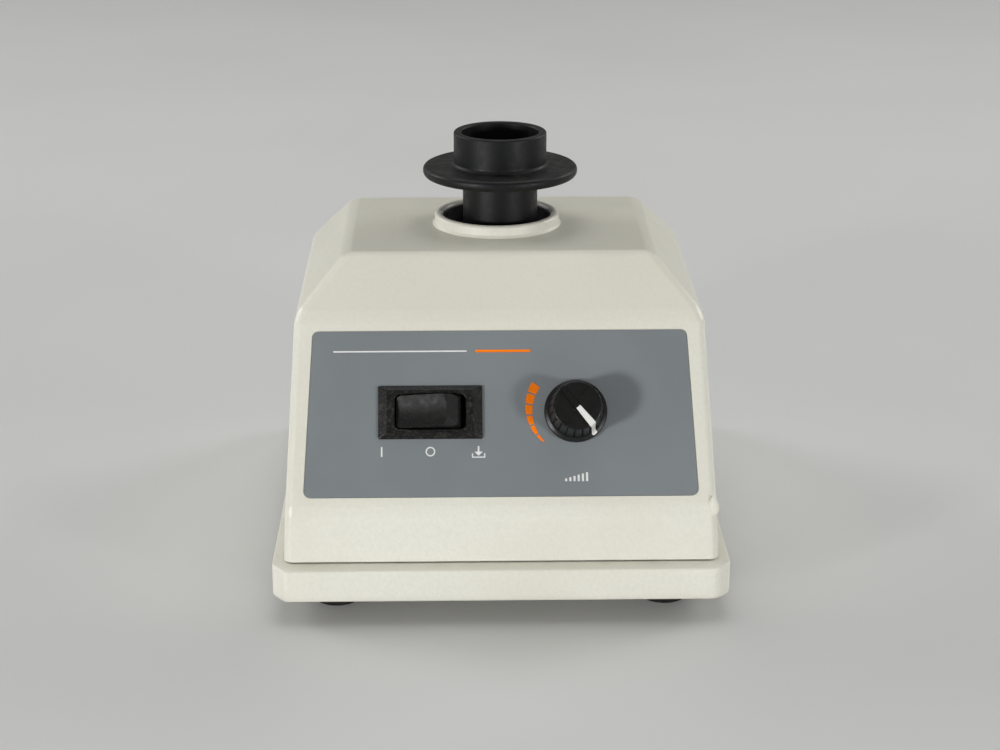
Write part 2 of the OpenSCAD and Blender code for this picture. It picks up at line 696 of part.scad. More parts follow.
module head_hub() color(pale_plastic) on_orbit(stem_bottom_z) difference() {
    cylinder(r = hub_wall_r - 0.01, h = hub_top_z - stem_bottom_z - 0.02);
    translate([0, 0, -1]) cylinder(r = bearing_r, h = bearing_z + bearing_h - stem_bottom_z + 1);
    cylinder(r = 9.6, h = 15);
}

base_tray();
cover_gasket();
housing_cover();
collar_seal();
panel_label();
rubber_feet();
foot_screws();
cover_screws();
switch_housing();
switch_terminals();
rocker_pin();
pot_body();
pot_washer();
pot_nut();
guide_posts();
post_clips();
suspension_springs();
touch_switch_bracket();
touch_switch();
circuit_board();
board_components();
board_standoffs();
cord_gland();
gland_nut();
wiring();
motor_plate();
stator_core();
stator_windings();
lower_bracket();
upper_bracket();
motor_bushes();
motor_bolts();
motor_rotor();
motor_shaft();
cooling_fan();
eccentric_hub();
bearing_inner_ring();
bearing_screw();
cup_head();
head_hub();
bearing_outer_ring();
bearing_balls();
switch_rocker();
speed_knob();
knob_pointer();
pot_shaft();
knob_set_screw();
touch_plunger();
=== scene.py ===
"""Looks of the vortex mixer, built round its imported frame. Lengths are metres in the row's frame."""

import json
import math

import bmesh
import bpy
from mathutils import Matrix, Vector


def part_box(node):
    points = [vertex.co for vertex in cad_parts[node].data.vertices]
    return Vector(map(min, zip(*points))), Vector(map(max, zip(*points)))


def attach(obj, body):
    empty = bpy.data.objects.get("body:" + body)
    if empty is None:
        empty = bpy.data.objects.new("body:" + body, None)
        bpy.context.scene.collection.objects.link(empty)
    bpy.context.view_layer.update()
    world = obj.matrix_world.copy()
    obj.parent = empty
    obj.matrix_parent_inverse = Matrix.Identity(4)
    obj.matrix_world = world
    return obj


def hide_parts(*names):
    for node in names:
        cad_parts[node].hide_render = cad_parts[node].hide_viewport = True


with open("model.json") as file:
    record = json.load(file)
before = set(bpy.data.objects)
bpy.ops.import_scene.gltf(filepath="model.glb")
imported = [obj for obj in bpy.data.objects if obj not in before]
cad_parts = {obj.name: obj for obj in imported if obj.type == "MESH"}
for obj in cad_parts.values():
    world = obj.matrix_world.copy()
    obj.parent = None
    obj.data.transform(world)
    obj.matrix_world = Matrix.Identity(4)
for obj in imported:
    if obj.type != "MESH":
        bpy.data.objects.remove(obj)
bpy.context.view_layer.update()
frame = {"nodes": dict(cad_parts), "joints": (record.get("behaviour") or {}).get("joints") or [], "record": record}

MM = 0.001
JOINTS = {joint["name"]: joint for joint in frame["joints"]}


# ---------------------------------------------------------------- places taken from the frame

def joint_point(name):
    return Vector(JOINTS[name]["pos_m"])


def joint_axis(name):
    return Vector(JOINTS[name]["axis"])


COVER_LO, COVER_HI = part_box("housing_cover")
TRAY_LO, TRAY_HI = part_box("base_tray")
CUP_LO, CUP_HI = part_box("cup_head")
SEAL_LO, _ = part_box("collar_seal")
MOTOR_AXIS = joint_point("motor_spin")
MOTOR_PLACE = Matrix.Translation((MOTOR_AXIS.x, MOTOR_AXIS.y, 0))
HEAD_AXIS = joint_point("head_orbit")

# The control panel's own axes: across, up along the panel, and straight out of it
PANEL_OUT = joint_axis("speed_turn")
PANEL_UP = joint_axis("rocker_tilt")
PANEL_X = Vector((1, 0, 0))
CONTROL_UP = 35.7 * MM
KNOB_X = joint_point("speed_turn").x
SWITCH_X = joint_point("rocker_tilt").x
CREASE = joint_point("speed_turn") - PANEL_UP * CONTROL_UP - PANEL_X * KNOB_X
PANEL_LEN = 71 * MM
SHOULDER = CREASE + PANEL_UP * PANEL_LEN
SHOULDER_H = 18.5 * MM  # how far the front slope above the shoulder goes up, and as far back
COLLAR_H = 4.4 * MM
COLLAR_R = 20.6 * MM
SKIRT_DEPTH = 3 * MM
TOP_Z = COVER_HI.z - COLLAR_H
TOP_FRONT_Y = SHOULDER.y + SHOULDER_H
TOP_REAR_Y = TOP_FRONT_Y + 84.5 * MM
TOP_HALF_W = 56.6 * MM
COVER_HALF_W = COVER_HI.x
SIDE_DRAFT = math.radians(2.7)
WALL = 3 * MM
LABEL_RECESS = 0.5 * MM
LABEL_T = 0.35 * MM
LABEL_FACE = LABEL_T - LABEL_RECESS
SEAM_LOW = TRAY_HI.z + 0.30 * MM
SEAM_HIGH = COVER_LO.z - 0.40 * MM


def half_width(z):
    """Half the cover's width at a height below the shoulder."""
    return COVER_HALF_W - (z - COVER_LO.z) * math.tan(SIDE_DRAFT)


def rear_y(z):
    """Where the sloping rear wall stands at a height."""
    share = (z - COVER_LO.z) / (TOP_Z - COVER_LO.z)
    return COVER_HI.y + (TOP_REAR_Y - COVER_HI.y) * share


REAR_UP = Vector((0, TOP_REAR_Y - COVER_HI.y, TOP_Z - COVER_LO.z)).normalized()
REAR_OUT = Vector((0, REAR_UP.z, -REAR_UP.y))


def frame_at(origin, x_axis, y_axis, z_axis):
    """The matrix of a local frame."""
    matrix = Matrix((x_axis, y_axis, z_axis)).transposed().to_4x4()
    matrix.translation = origin
    return matrix


def on_panel(x, up, out=0.0):
    """A local frame on the control panel, with Z straight out of it."""
    origin = CREASE + PANEL_X * x + PANEL_UP * up + PANEL_OUT * out
    return frame_at(origin, PANEL_X, PANEL_UP, PANEL_OUT)


# ---------------------------------------------------------------- mesh helpers

def fillet(points, radii, steps=5, closed=False):
    """A flat outline with its corners rounded; a radius of 0 keeps a corner sharp."""
    out = []
    count = len(points)
    for i, point in enumerate(points):
        here = Vector(point)
        if radii[i] == 0 or (not closed and i in (0, count - 1)):
            out.append(here)
            continue
        back = Vector(points[i - 1]) - here
        ahead = Vector(points[(i + 1) % count]) - here
        half = back.angle(ahead) / 2
        reach = min(radii[i] / math.tan(half), 0.49 * back.length, 0.49 * ahead.length)
        radius = reach * math.tan(half)
        back.normalize()
        ahead.normalize()
        centre = here + (back + ahead).normalized() * (radius / math.sin(half))
        start = here + back * reach - centre
        end = here + ahead * reach - centre
        turn = start.angle_signed(end)
        for k in range(steps + 1):
            a = -turn * k / steps
            out.append(centre + Vector((start.x * math.cos(a) - start.y * math.sin(a),
                                        start.x * math.sin(a) + start.y * math.cos(a))))
    return out


def rounded_rect(w, d, r, steps=6):
    corners = [(-w / 2, -d / 2), (w / 2, -d / 2), (w / 2, d / 2), (-w / 2, d / 2)]
    return fillet(corners, [max(r, 1e-6)] * 4, steps, closed=True)


def add_object(name, bm, matrix=None):
    mesh = bpy.data.meshes.new(name)
    bmesh.ops.recalc_face_normals(bm, faces=bm.faces)
    bm.to_mesh(mesh)
    bm.free()
    if matrix is not None:
        mesh.transform(matrix)
    obj = bpy.data.objects.new(name, mesh)
    bpy.context.scene.collection.objects.link(obj)
    return obj


def bridge(bm, low, high):
    """Joins two closed rings, of which one may be a single point."""
    count = max(len(low), len(high))
    for i in range(count):
        j = (i + 1) % count
        quad = [low[i % len(low)], low[j % len(low)], high[j % len(high)], high[i % len(high)]]
        unique = list(dict.fromkeys(quad))
        if len(unique) > 2:
            bm.faces.new(unique)


def loft(name, rings, matrix=None, cap_first=True, cap_last=True, loop=False):
    """Rings of points joined one to the next; a ring of one point is a pole."""
    bm = bmesh.new()
    made = [[bm.verts.new(p) for p in ring] for ring in rings]
    for low, high in zip(made, made[1:] + (made[:1] if loop else [])):
        bridge(bm, low, high)
    if not loop and cap_first and len(made[0]) > 2:
        bm.faces.new(made[0])
    if not loop and cap_last and len(made[-1]) > 2:
        bm.faces.new(made[-1])
    return add_object(name, bm, matrix)


def lathe(name, profile, matrix, turns=96, loop=False):
    """A profile of (radius, height) turned about the local Z axis."""
    rings = []
    for r, z in profile:
        if r < 1e-7:
            rings.append([(0, 0, z)])
        else:
            rings.append([(r * math.cos(math.tau * k / turns), r * math.sin(math.tau * k / turns), z)
                          for k in range(turns)])
    return loft(name, rings, matrix, loop=loop)


def prism(name, outline, low, high, matrix=None):
    """A flat outline raised from one height to the other."""
    return loft(name, [[(p[0], p[1], z) for p in outline] for z in (low, high)], matrix)


def settle(obj):
    """Applies every modifier."""
    graph = bpy.context.evaluated_depsgraph_get()
    mesh = bpy.data.meshes.new_from_object(obj.evaluated_get(graph))
    old = obj.data
    obj.modifiers.clear()
    obj.data = mesh
    bpy.data.meshes.remove(old)


def combine(obj, tool, operation="DIFFERENCE"):
    """Joins a tool to an object, or cuts it out, and uses the tool up."""
    modifier = obj.modifiers.new("combine", "BOOLEAN")
    modifier.operation = operation
    modifier.solver = "EXACT"
    modifier.object = tool
    settle(obj)
    bpy.data.objects.remove(tool)


def bevel(obj, width, segments=3, angle=30, weighted=False, profile=0.5):
    modifier = obj.modifiers.new("bevel", "BEVEL")
    modifier.width = width
    modifier.segments = segments
    modifier.limit_method = "WEIGHT" if weighted else "ANGLE"
    modifier.angle_limit = math.radians(angle)
    modifier.profile = profile
    settle(obj)


def finish_piece(obj, body, material, replaces=(), sharp=32, weighted=True):
    """Shades a piece and says which body it rides and the CAD nodes it stands for."""
    obj.data.shade_smooth()
    obj.data.set_sharp_from_angle(angle=math.radians(sharp))
    if weighted:
        normals = obj.modifiers.new("normals", "WEIGHTED_NORMAL")
        normals.keep_sharp = True
        normals.weight = 60
    obj.data.materials.clear()
    obj.data.materials.append(material)
    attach(obj, body)
    if replaces:
        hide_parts(*replaces)


# ---------------------------------------------------------------- materials

class Shader:
    """A small node graph round one Principled shader, in the piece's own coordinates."""

    def __init__(self, name, color, roughness, metallic=0.0, **sockets):
        self.material = bpy.data.materials.new(name)
        self.material.use_nodes = True
        self.tree = self.material.node_tree
        self.bsdf = self.tree.nodes["Principled BSDF"]
        self.bsdf.inputs["Base Color"].default_value = (*color, 1)
        self.bsdf.inputs["Roughness"].default_value = roughness
        self.bsdf.inputs["Metallic"].default_value = metallic
        for socket, value in sockets.items():
            self.bsdf.inputs[socket.replace("_", " ")].default_value = value
        self.place = self.tree.nodes.new("ShaderNodeTexCoord").outputs["Object"]
        self.normal = None

    def node(self, kind, inputs=None, **settings):
        made = self.tree.nodes.new(kind)
        for key, value in settings.items():
            setattr(made, key, value)
        for key, value in (inputs or {}).items():
            if isinstance(value, bpy.types.NodeSocket):
                self.tree.links.new(value, made.inputs[key])
            else:
                made.inputs[key].default_value = value
        return made

    def stretched(self, scale):
        """Coordinates scaled by axis, which draws a grain out along the smaller scales."""
        return self.node("ShaderNodeMapping", {"Vector": self.place, "Scale": scale}).outputs[0]

    def noise(self, size, detail, vector=None):
        """Noise whose features are about the given size, in metres."""
        made = self.node("ShaderNodeTexNoise", {"Vector": vector or self.place, "Scale": 1 / size,
                                                "Detail": detail, "Roughness": 0.55})
        return made.outputs["Fac"]

    def cells(self, size):
        made = self.node("ShaderNodeTexVoronoi", {"Vector": self.place, "Scale": 1 / size})
        return made.outputs["Distance"]

    def spread(self, value, low, high, out_low=0.0, out_high=1.0):
        """Maps a range onto another with soft ends."""
        made = self.node("ShaderNodeMapRange", {"Value": value, "From Min": low, "From Max": high,
                                                "To Min": out_low, "To Max": out_high},
                         interpolation_type="SMOOTHSTEP")
        return made.outputs["Result"]

    def math(self, operation, a, b):
        return self.node("ShaderNodeMath", {0: a, 1: b}, operation=operation).outputs[0]

    def mix(self, factor, a, b):
        """Mixes two colours. The node keeps them in inputs 6 and 7 and gives the result in output 2."""
        made = self.node("ShaderNodeMix", {"Factor": factor}, data_type="RGBA")
        for socket, value in ((made.inputs[6], a), (made.inputs[7], b)):
            if isinstance(value, bpy.types.NodeSocket):
                self.tree.links.new(value, socket)
            else:
                socket.default_value = (*value, 1)
        return made.outputs[2]

    def height(self):
        return self.node("ShaderNodeSeparateXYZ", {"Vector": self.place}).outputs["Z"]

    def facing_up(self):
        """1 where the surface faces straight up, 0 where it is upright."""
        normal = self.node("ShaderNodeNewGeometry").outputs["Normal"]
        return self.node("ShaderNodeSeparateXYZ", {"Vector": normal}).outputs["Z"]

    def color(self, value):
        self.tree.links.new(value, self.bsdf.inputs["Base Color"])

    def roughness(self, value):
        self.tree.links.new(value, self.bsdf.inputs["Roughness"])

    def bump(self, value, distance):
        """Adds relief of the given depth, in metres, over any relief that is already there."""
        inputs = {"Height": value, "Distance": distance, "Strength": 1.0}
        if self.normal is not None:
            inputs["Normal"] = self.normal
        self.normal = self.node("ShaderNodeBump", inputs).outputs["Normal"]
        self.tree.links.new(self.normal, self.bsdf.inputs["Normal"])


def housing_paint():
    """Thick warm off-white enamel over a rough casting, with painted shade: darker and yellower where it faces
    up, and darker in patches round the seam between tray and cover. Also darker towards the tray's bottom edge."""
    base = (0.782, 0.776, 0.694)
    s = Shader("housing_paint", base, 0.33, Specular_IOR_Level=0.5)
    broad = s.spread(s.noise(55 * MM, 3), 0.35, 0.7)
    tone = s.mix(broad, base, (0.745, 0.735, 0.645))
    mottle = s.spread(s.noise(1.3 * MM, 3), 0.30, 0.70)
    tone = s.mix(s.math("MULTIPLY", mottle, 0.30), tone, (0.66, 0.65, 0.565))
    specks = s.spread(s.noise(0.9 * MM, 2), 0.70, 0.80)
    tone = s.mix(s.math("MULTIPLY", specks, 0.35), tone, (0.52, 0.48, 0.39))
    height = s.height()
    # Painted shade: a darker band, in patches, round the seam between tray and cover.
    above = s.spread(height, SEAM_HIGH - 0.3 * MM, SEAM_HIGH + 1.1 * MM, 1, 0)
    below = s.spread(height, SEAM_LOW - 1.3 * MM, SEAM_LOW - 0.1 * MM)
    patches = s.spread(s.noise(13 * MM, 4), 0.46, 0.75)
    painted_seam_shade = s.math("MULTIPLY", s.math("MULTIPLY", above, below), patches)
    tone = s.mix(s.math("MULTIPLY", painted_seam_shade, 0.45), tone, (0.50, 0.40, 0.30))
    # Darker towards the tray's bottom edge, in patches.
    low = s.spread(height, TRAY_LO.z, TRAY_LO.z + 3 * MM, 0.35, 0)
    tone = s.mix(s.math("MULTIPLY", low, s.noise(6 * MM, 4)), tone, (0.45, 0.42, 0.36))
    # Painted shade: faces that point up are made darker and yellower.
    painted_top_shade = s.spread(s.facing_up(), 0.25, 0.75, 0, 0.42)
    s.color(s.mix(painted_top_shade, tone, (0.72, 0.70, 0.575)))
    s.roughness(s.spread(s.noise(14 * MM, 4), 0.3, 0.7, 0.31, 0.44))
    s.bump(s.noise(1.6 * MM, 2), 0.060 * MM)
    s.bump(s.noise(8 * MM, 2), 0.13 * MM)
    return s.material


def label_film():
    base = (0.210, 0.231, 0.243)
    s = Shader("label_film", base, 0.46, Specular_IOR_Level=0.4)
    s.color(s.mix(s.spread(s.noise(40 * MM, 2), 0.3, 0.7), base, (0.194, 0.214, 0.225)))
    s.roughness(s.spread(s.noise(12 * MM, 3), 0.3, 0.7, 0.42, 0.52))
    s.bump(s.noise(0.28 * MM, 2), 0.010 * MM)
    return s.material


def ink(name, color):
    s = Shader(name, color, 0.5, Specular_IOR_Level=0.12)
    faded = tuple(0.94 * c for c in color)
    s.color(s.mix(s.spread(s.noise(1.2 * MM, 3), 0.35, 0.75), color, faded))
    s.bump(s.noise(0.25 * MM, 2), 0.006 * MM)
    return s.material


def moulded(name, color, light, roughness, grain, depth, **sockets):
    """Textured moulded plastic: sparked grain, faint handling marks."""
    s = Shader(name, color, roughness, **sockets)
    worn = s.spread(s.noise(3.5 * MM, 4), 0.5, 0.8)
    flecks = s.spread(s.noise(1.2 * grain, 2), 0.50, 0.70)
    s.color(s.mix(s.math("MULTIPLY", s.math("ADD", worn, flecks), 0.5), color, light))
    s.roughness(s.spread(s.noise(2 * MM, 4), 0.3, 0.7, roughness - 0.06, roughness + 0.08))
    s.bump(s.noise(grain, 3), depth)
    return s.material


def cup_rubber():
    """Matt black rubber with pale dust on what faces up."""
    base = (0.0036, 0.0039, 0.0042)
    s = Shader("cup_rubber", base, 0.46, Specular_IOR_Level=0.28)
    patches = s.spread(s.noise(7 * MM, 5), 0.30, 0.80)
    dust = s.math("MULTIPLY", s.spread(s.facing_up(), 0.55, 0.95), patches)
    s.color(s.mix(s.math("MULTIPLY", dust, 0.45), base, (0.052, 0.050, 0.044)))
    s.roughness(s.spread(s.noise(3 * MM, 4), 0.3, 0.7, 0.42, 0.56))
    s.bump(s.noise(0.7 * MM, 3), 0.015 * MM)
    return s.material


def dark_rubber(name):
    base = (0.0085, 0.0085, 0.009)
    s = Shader(name, base, 0.62, Specular_IOR_Level=0.3)
    s.color(s.mix(s.spread(s.noise(5 * MM, 4), 0.4, 0.8), base, (0.024, 0.023, 0.021)))
    s.bump(s.noise(0.6 * MM, 3), 0.02 * MM)
    return s.material


def metal(name, color, roughness, grain=(1, 1, 14), size=0.8 * MM, tint=None, depth=0.006 * MM):
    """Metal with a drawn or ground grain."""
    s = Shader(name, color, roughness, 1.0)
    stretched = s.stretched(grain)
    lines = s.noise(size, 4, stretched)
    duller = tint or tuple(0.82 * c for c in color)
    s.color(s.mix(s.spread(s.noise(6 * MM, 3), 0.35, 0.75), color, duller))
    s.roughness(s.spread(lines, 0.3, 0.7, roughness - 0.07, roughness + 0.1))
    s.bump(lines, depth)
    return s.material


def laminations():
    base = (0.30, 0.31, 0.33)
    s = Shader("lamination_steel", base, 0.45, 1.0)
    sheets = s.node("ShaderNodeTexWave", {"Vector": s.place, "Scale": 1 / (6.3 * MM)},
                    bands_direction="Z").outputs["Fac"]
    s.color(s.mix(s.spread(sheets, 0.1, 0.5), (0.10, 0.10, 0.11), base))
    s.bump(sheets, 0.1 * MM)
    return s.material


def windings():
    base = (0.62, 0.24, 0.075)
    s = Shader("copper_winding", base, 0.32, 0.85, Coat_Weight=0.4)
    strands = s.node("ShaderNodeTexWave", {"Vector": s.place, "Scale": 1 / (4 * MM), "Distortion": 1.5},
                     wave_type="RINGS", rings_direction="Z").outputs["Fac"]
    s.color(s.mix(strands, (0.30, 0.10, 0.03), base))
    s.bump(strands, 0.2 * MM)
    return s.material


def laminate_board():
    base = (0.02, 0.13, 0.055)
    s = Shader("board_laminate", base, 0.35, Coat_Weight=0.3)
    tracks = s.cells(5 * MM)
    s.color(s.mix(s.spread(tracks, 0.4, 0.5), base, (0.04, 0.22, 0.09)))
    s.bump(s.noise(0.4 * MM, 2), 0.01 * MM)
    return s.material


PAINT = housing_paint()
LABEL = label_film()
ORANGE = ink("orange_ink", (1.0, 0.215, 0.004))
WHITE_INK = ink("white_ink", (0.80, 0.81, 0.80))
CUP_RUBBER = cup_rubber()
RUBBER = dark_rubber("black_rubber")
BEZEL = moulded("black_plastic", (0.0030, 0.0029, 0.0028), (0.066, 0.063, 0.056), 0.38, 0.60 * MM,
                0.17 * MM, Specular_IOR_Level=0.33)
ROCKER = moulded("rocker_plastic", (0.0062, 0.0062, 0.0060), (0.0260, 0.0255, 0.0240), 0.47, 0.50 * MM,
                 0.045 * MM, Specular_IOR_Level=0.26)
KNOB = moulded("knob_plastic", (0.0050, 0.0050, 0.0048), (0.0100, 0.0097, 0.0090), 0.33, 0.4 * MM,
               0.010 * MM, Specular_IOR_Level=0.34)
WHITE = moulded("white_plastic", (0.80, 0.80, 0.77), (0.70, 0.69, 0.65), 0.4, 0.6 * MM, 0.01 * MM)
INSULATION = moulded("wire_insulation", (0.45, 0.05, 0.035), (0.38, 0.05, 0.035), 0.42, 0.8 * MM,
                     0.01 * MM)
ZINC = metal("zinc_steel", (0.62, 0.61, 0.57), 0.34, tint=(0.52, 0.50, 0.44))
STEEL = metal("bright_steel", (0.70, 0.70, 0.70), 0.24)
SPRING = metal("spring_steel", (0.42, 0.42, 0.43), 0.34)
BRASS = metal("brass", (0.72, 0.52, 0.25), 0.3)
ALUMINIUM = metal("cast_aluminium", (0.64, 0.65, 0.66), 0.48, (1, 1, 1), 1.1 * MM, depth=0.05 * MM)
SLOT_MATERIALS = {
    "housing_paint": PAINT, "black_rubber": RUBBER, "label_film": LABEL, "zinc_steel": ZINC,
    "black_plastic": BEZEL, "knob_plastic": KNOB, "rocker_plastic": ROCKER, "white_plastic": WHITE,
    "brass": BRASS, "bright_steel": STEEL, "spring_steel": SPRING, "lamination_steel": laminations(),
    "copper_winding": windings(), "cast_aluminium": ALUMINIUM, "board_laminate": laminate_board(),
    "wire_insulation": INSULATION, "cup_rubber": CUP_RUBBER,
}


def dress_cad_nodes():
    """Every CAD node gets the procedural material of its slot."""
    for part in frame["record"]["subparts"]:
        obj = frame["nodes"][part["node"]]
        obj.data.materials.clear()
        obj.data.materials.append(SLOT_MATERIALS[part["material_slot"]])


# ---------------------------------------------------------------- the housing

def label_outline(grow):
    """The label's outline on the panel, moved out by the given length."""
    low, high = 5.2 * MM - grow, 65.5 * MM + grow
    wide, narrow = 70.5 * MM + grow, 67.4 * MM + grow
    corners = [(-wide, low), (wide, low), (narrow, high), (-narrow, high)]
    return fillet(corners, [2.5 * MM + grow] * 4, 8, closed=True)


def cover_shell():
    """The cast cover without its collar and holes: flat faces with soft edges, 3 mm thick."""
    side = [(COVER_LO.y, SEAM_HIGH), (CREASE.y, CREASE.z), (SHOULDER.y, SHOULDER.z),
            (TOP_FRONT_Y, TOP_Z), (TOP_REAR_Y, TOP_Z), (rear_y(SHOULDER.z), SHOULDER.z),
            (COVER_HI.y, SEAM_HIGH)]
    widths = [half_width(z) if z <= SHOULDER.z + 1e-6 else TOP_HALF_W for _, z in side]
    bm = bmesh.new()
    left = [bm.verts.new((-w, y, z)) for (y, z), w in zip(side, widths)]
    right = [bm.verts.new((w, y, z)) for (y, z), w in zip(side, widths)]
    for i in range(4):
        bm.faces.new((left[i], right[i], right[i + 1], left[i + 1]))
    bm.faces.new((left[4], right[4], right[5], right[6], left[6], left[5]))
    for row in (left, right):
        bm.faces.new((row[0], row[1], row[2], row[5], row[6]))
        bm.faces.new((row[2], row[3], row[4], row[5]))
    bmesh.ops.remove_doubles(bm, verts=bm.verts, dist=1e-7)
    soft = {"crease": 0.9, "corner": 1.0, "top": 1.0}
    layer = bm.edges.layers.float.new("bevel_weight_edge")
    for edge in bm.edges:
        if len(edge.link_faces) < 2:
            continue
        low = min(v.co.z for v in edge.verts)
        level = abs(edge.verts[0].co.z - edge.verts[1].co.z) < 1e-6
        kind = "top" if low > SHOULDER.z - 1e-6 else "crease" if level else "corner"
        edge[layer] = soft[kind]
    obj = add_object("cover_shell", bm)
    bevel(obj, 2.9 * MM, 6, weighted=True, profile=0.42)
    thick = obj.modifiers.new("wall", "SOLIDIFY")
    thick.thickness = WALL
    thick.offset = -1
    thick.use_even_offset = True
    settle(obj)
    return obj


def disc_tool(r, low, high, matrix, turns=48):
    """A round solid that cuts a hole."""
    return lathe("tool", [(0, low), (r, low), (r, high), (0, high)], matrix, turns)


def cut_controls(obj, low, high):
    """Cuts the holes for the switch and the knob's shaft, between two levels on the panel."""
    outline = rounded_rect(30.6 * MM, 16.1 * MM, 0.3 * MM)
    combine(obj, prism("tool", outline, low, high, on_panel(SWITCH_X, CONTROL_UP)))
    combine(obj, disc_tool(3.8 * MM, low, high, on_panel(KNOB_X, CONTROL_UP)))


def collar_ring():
    """The raised ring round the stem: flared outside, with a fat rounded rim."""
    r = COLLAR_R
    top = TOP_Z + COLLAR_H
    low = TOP_Z - WALL - SKIRT_DEPTH
    points = [(r, low), (r, top), (r + 3.1 * MM, top), (r + 3.2 * MM, TOP_Z + 0.9 * MM),
              (r + 4.1 * MM, TOP_Z - 0.1 * MM), (r + 4.1 * MM, TOP_Z - 1.2 * MM), (r + 3.1 * MM, low)]
    radii = [0.4 * MM, 1.45 * MM, 1.45 * MM, 0.9 * MM, 0.1 * MM, 0.1 * MM, 0.4 * MM]
    return lathe("collar_ring", fillet(points, radii, 6, closed=True),
                 MOTOR_PLACE, 128, loop=True)


def build_cover():
    obj = cover_shell()
    inside, outside = -8 * MM, 5 * MM
    label_gap = 0.12 * MM
    combine(obj, disc_tool(COLLAR_R + 2 * MM, TOP_Z - 10 * MM, TOP_Z + outside, MOTOR_PLACE, 96))
    combine(obj, collar_ring(), "UNION")
    combine(obj, prism("tool", label_outline(label_gap), -LABEL_RECESS, outside, on_panel(0, 0)))
    cut_controls(obj, inside, outside)
    combine(obj, disc_tool(GLAND_R + 0.2 * MM, inside, outside, GLAND_PLACE))
    finish_piece(obj, "housing", PAINT, ["housing_cover"], sharp=30)


def gland_place():
    """The cord gland's frame, from its bore's place in the record."""
    mount = next(m for m in frame["record"]["mounts"] if m["name"] == "cord_entry")
    at = Vector(mount["pos_m"]) + REAR_OUT * 0.55 * MM
    return frame_at(at, Vector((-1, 0, 0)), REAR_UP, REAR_OUT)


GLAND_PLACE = gland_place()
GLAND_R = 7 * MM


def cut_corner(cut_x, cut_y, inset):
    """Both ends of the line across a corner of the tray, with every side moved in by the inset."""
    size = math.hypot(cut_x, cut_y)
    nx, ny = cut_y / size, cut_x / size
    reach = nx * TRAY_HI.x + ny * (TRAY_HI.y - cut_y) - inset
    w, d = TRAY_HI.x - inset, TRAY_HI.y - inset
    return (w, (reach - nx * w) / ny), ((reach - ny * d) / nx, d)


def tray_ring(inset, z):
    """The tray's outline: cast corners that are nearly flat, with a firm edge at the front."""
    points = []
    corners = ((-1, -1, 4.8, 6.4), (1, -1, 5.0, 5.4), (1, 1, 5.4, 5.6), (-1, 1, 5.4, 5.6))
    soft, firm = 5.5, 2.4
    for sx, sy, cut_x, cut_y in corners:
        side, end = cut_corner(cut_x * MM, cut_y * MM, inset)
        front_left = sx < 0 and sy < 0
        pair = [(sx * side[0], sy * side[1], soft), (sx * end[0], sy * end[1], firm if front_left else soft)]
        points += pair if sx * sy > 0 else pair[::-1]
    radii = [max(p[2] * MM - 0.3 * inset, 0.5 * MM) for p in points]
    return [(p.x, p.y, z) for p in fillet([p[:2] for p in points], radii, 5, closed=True)]


def build_tray():
    """The tray: rolled lower edge, upright band, a sloping ledge under the cover, vents in its
    floor, and a small chip in its lower front edge."""
    low, band, ledge = TRAY_LO.z, TRAY_HI.z - 1.2 * MM, SEAM_LOW
    edge = 1.0 * MM
    wall = [(edge + 1.0 * MM, low), (0, low), (0, band), (3.8 * MM, ledge), (8.3 * MM, ledge),
            (8.3 * MM, ledge - 2.5 * MM), (3.0 * MM, ledge - 2.7 * MM), (3.0 * MM, low + 3 * MM)]
    radii = [0, edge, 0.9 * MM, 0.6 * MM, 0.3 * MM, 0.3 * MM, 0, 0]
    path = fillet(wall, radii, 5)
    obj = loft("tray_shell", [tray_ring(inset, z) for inset, z in path])
    vent = rounded_rect(2.8 * MM, 24 * MM, 1.39 * MM)
    for i in range(-4, 5):
        place = Matrix.Translation((i * 7 * MM, 72 * MM, 0))
        combine(obj, prism("tool", vent, low - MM, low + 5 * MM, place))
    chip = [(-1.3 * MM, 0), (-0.5 * MM, 0.55 * MM), (0.3 * MM, 0.35 * MM), (1.1 * MM, 0), (0, -MM)]
    front_edge = Vector((-17.5 * MM, TRAY_LO.y, low))
    place = frame_at(front_edge, PANEL_X, Vector((0, 0, 1)), Vector((0, -1, 0)))
    combine(obj, prism("tool", chip, -0.9 * MM, MM, place))
    finish_piece(obj, "housing", PAINT, ["base_tray"], sharp=30)


def build_gasket():
    """The thin seal in the seam, in near-black rubber as painted shade: it gives the dark line between tray and
    cover.
    """
    depth, middle = COVER_HI.y - COVER_LO.y, (COVER_HI.y + COVER_LO.y) / 2
    rings = []
    for inset, z in ((1.0, SEAM_LOW), (1.0, SEAM_HIGH), (3.4, SEAM_HIGH), (3.4, SEAM_LOW)):
        outline = rounded_rect(2 * (COVER_HALF_W - inset * MM), depth - 2 * inset * MM, 3.5 * MM, 5)
        rings.append([(p.x, p.y + middle, z) for p in outline])
    obj = loft("gasket_strip", rings, loop=True)
    finish_piece(obj, "housing", RUBBER, ["cover_gasket"], sharp=40)


def paint_run(name, at, half, lean):
    """A hardened run of thick enamel: a teardrop with its fat end down."""
    turns, levels = 24, 14
    rings = []
    for k in range(levels + 1):
        t = k / levels
        swell = math.sin(math.pi * t ** 0.72) ** 0.8 if 0 < k < levels else 0
        z = -half[2] + 2 * half[2] * t
        if swell == 0:
            rings.append([(lean * z, 0, z)])
            continue
        rings.append([(lean * z + half[0] * swell * math.cos(math.tau * i / turns),
                       half[1] * swell * math.sin(math.tau * i / turns), z) for i in range(turns)])
    obj = loft(name, rings, Matrix.Translation(at))
    finish_piece(obj, "housing", PAINT, sharp=60)


